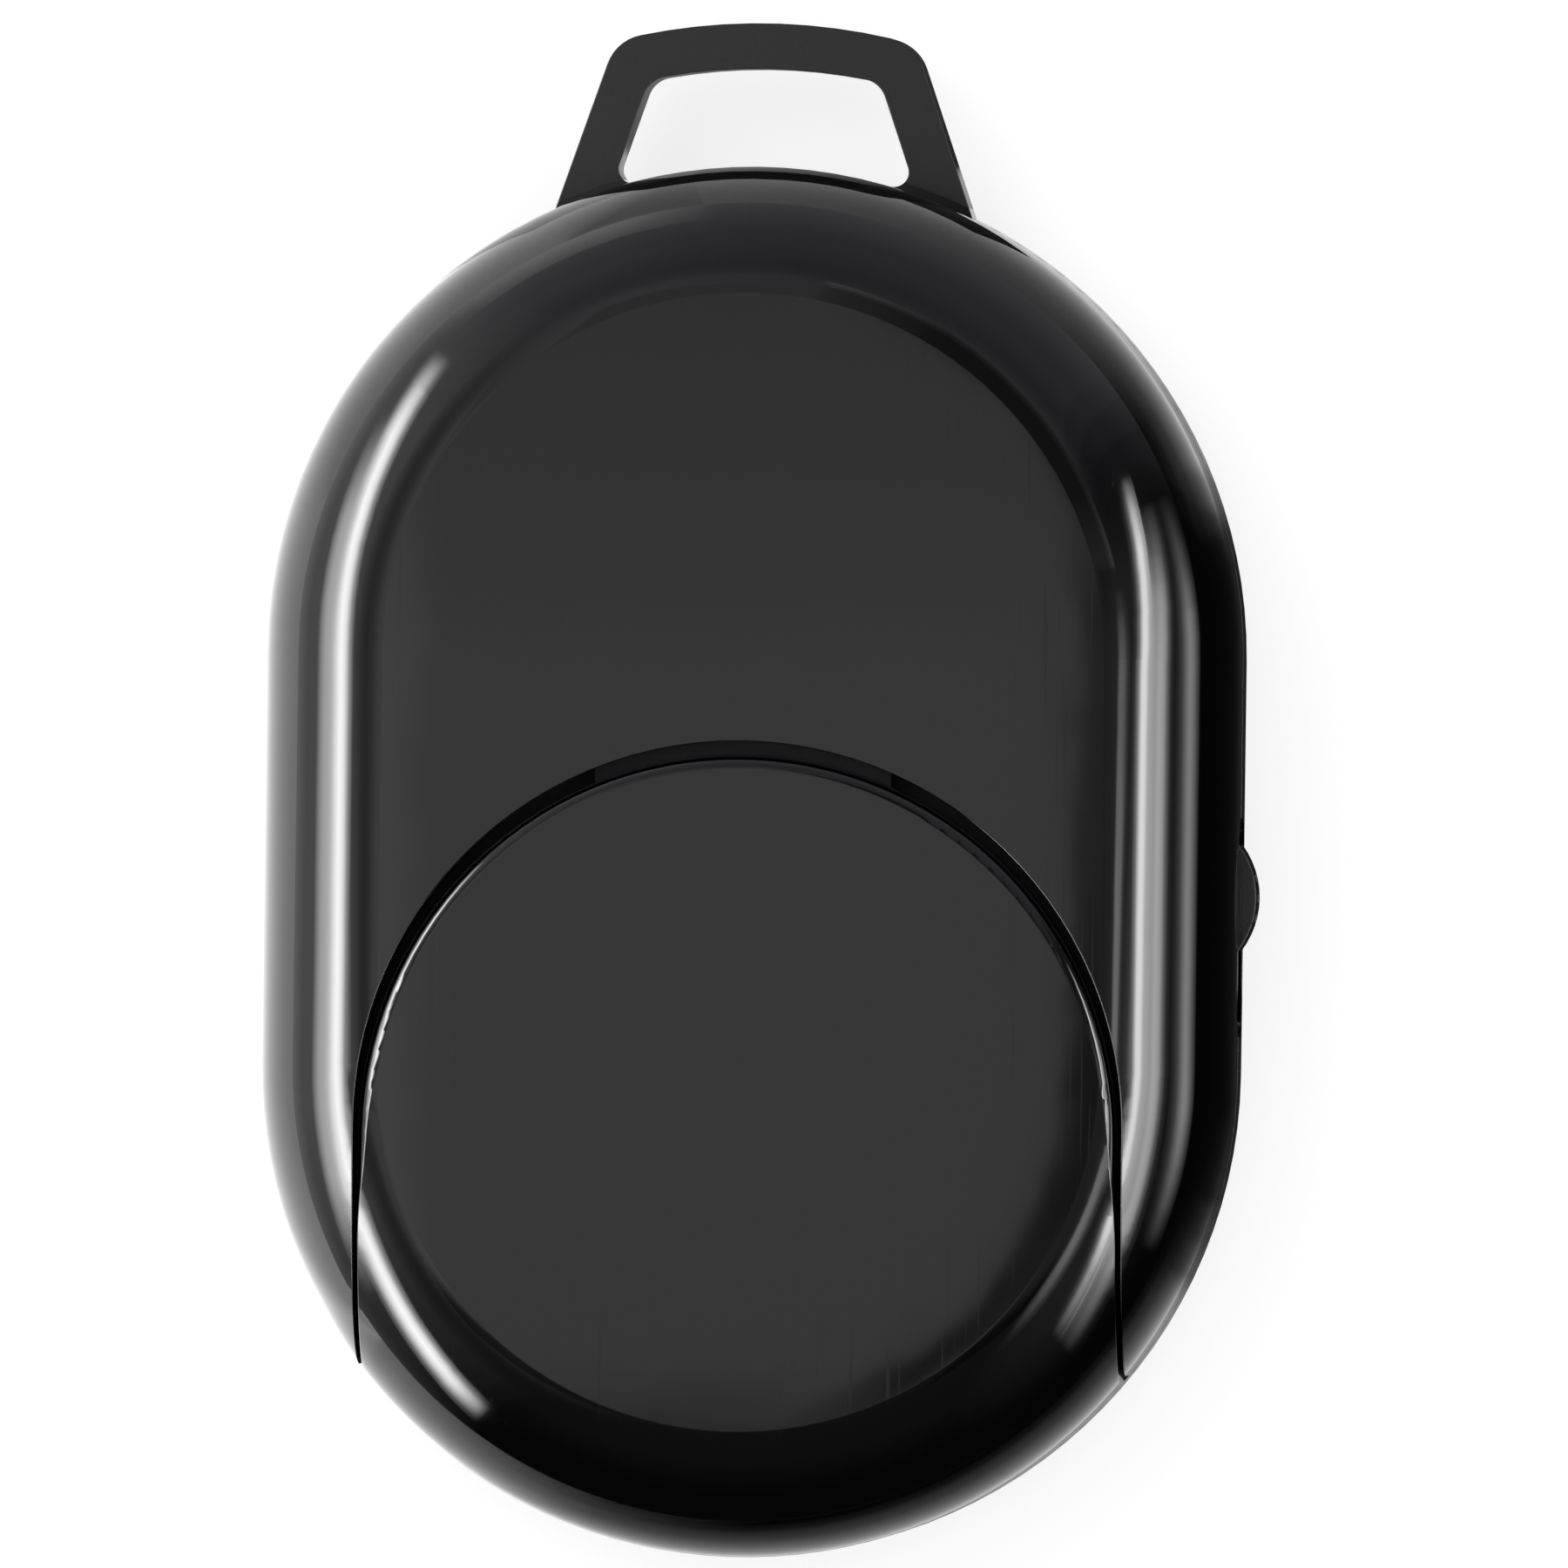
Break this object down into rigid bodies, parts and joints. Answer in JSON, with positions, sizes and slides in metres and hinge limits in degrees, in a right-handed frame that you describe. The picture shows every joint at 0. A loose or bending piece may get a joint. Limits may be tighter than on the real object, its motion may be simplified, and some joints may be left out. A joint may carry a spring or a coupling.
{
  "type": "bluetooth camera shutter remote",
  "caption": "Pocket camera shutter remote: pebble-shaped two-shell housing with lanyard loop, sliding battery cover, spring-back buttons, side power slider and coin cell inside.",
  "frame": {"origin": "centre of the housing's plan outline, on the plane through the crest of the front trim rings, on which the remote rests", "axes": "+Z out of the back face, which has the battery cover; +Y towards the lanyard loop; +X towards the power slider"},
  "size_m": [0.0336, 0.0519, 0.0115],
  "materials": {
    "housing_gloss": "gloss moulded black ABS",
    "button_gloss": "gloss moulded black ABS",
    "trim_chrome": "bright chrome-plated plastic ring",
    "lens_clear": "clear moulded light pipe",
    "knob_matte": "satin moulded black ABS",
    "board_laminate": "green solder mask on glass laminate",
    "zinc_steel": "zinc-plated sheet steel",
    "tinned_metal": "tinned copper and nickel silver",
    "switch_black": "moulded glass-filled nylon",
    "switch_white": "moulded white nylon",
    "cell_steel": "stamped nickel-plated steel",
    "contact_brass": "gold-flashed spring bronze and copper",
    "chip_epoxy": "moulded black epoxy",
    "chip_ceramic": "fired tan ceramic"
  },
  "bodies": {
    "housing": {"front_shell": "housing_gloss", "back_shell": "housing_gloss", "shutter_ring": "trim_chrome", "second_ring": "trim_chrome", "indicator_lens": "lens_clear", "circuit_board": "board_laminate", "board_screws": "zinc_steel", "slide_switch_base": "switch_black", "slide_switch_frame": "zinc_steel", "slide_switch_legs": "tinned_metal", "shutter_switch_base": "switch_black", "shutter_switch_plate": "zinc_steel", "shutter_switch_dome": "zinc_steel", "second_switch_base": "switch_black", "second_switch_plate": "zinc_steel", "second_switch_dome": "zinc_steel", "push_switch_legs": "tinned_metal", "cell_can": "cell_steel", "cell_gasket": "switch_black", "cell_cap": "cell_steel", "negative_contact": "contact_brass", "positive_contact": "contact_brass", "radio_chip": "chip_epoxy", "memory_chip": "chip_epoxy", "memory_chip_legs": "tinned_metal", "crystal_can": "tinned_metal", "indicator_led": "switch_white", "capacitors": "chip_ceramic", "resistors": "chip_epoxy", "antenna_trace": "contact_brass"},
    "shutter_press": {"shutter_button": "button_gloss", "shutter_switch_stem": "switch_white"},
    "second_press": {"second_button": "button_gloss", "second_switch_stem": "switch_white"},
    "power_slide": {"power_knob": "knob_matte", "slide_switch_lever": "switch_white"},
    "cover": {"battery_cover": "housing_gloss"}
  },
  "joints": [
    {"name": "shutter_button_press", "type": "slide", "parent": "housing", "child": "shutter_press", "axis": [0, 0, 1], "range_m": [0, 0.00025], "stiffness_N_per_m": 2000, "springref_m": -0.0002},
    {"name": "second_button_press", "type": "slide", "parent": "housing", "child": "second_press", "axis": [0, 0, 1], "range_m": [0, 0.00025], "stiffness_N_per_m": 2000, "springref_m": -0.0002},
    {"name": "power_slider_slide", "type": "slide", "parent": "housing", "child": "power_slide", "axis": [0, 1, 0], "range_m": [-0.002, 0]},
    {"name": "battery_cover_slide", "type": "slide", "parent": "housing", "child": "cover", "axis": [0, -1, 0], "range_m": [0, 0.028]}
  ]
}
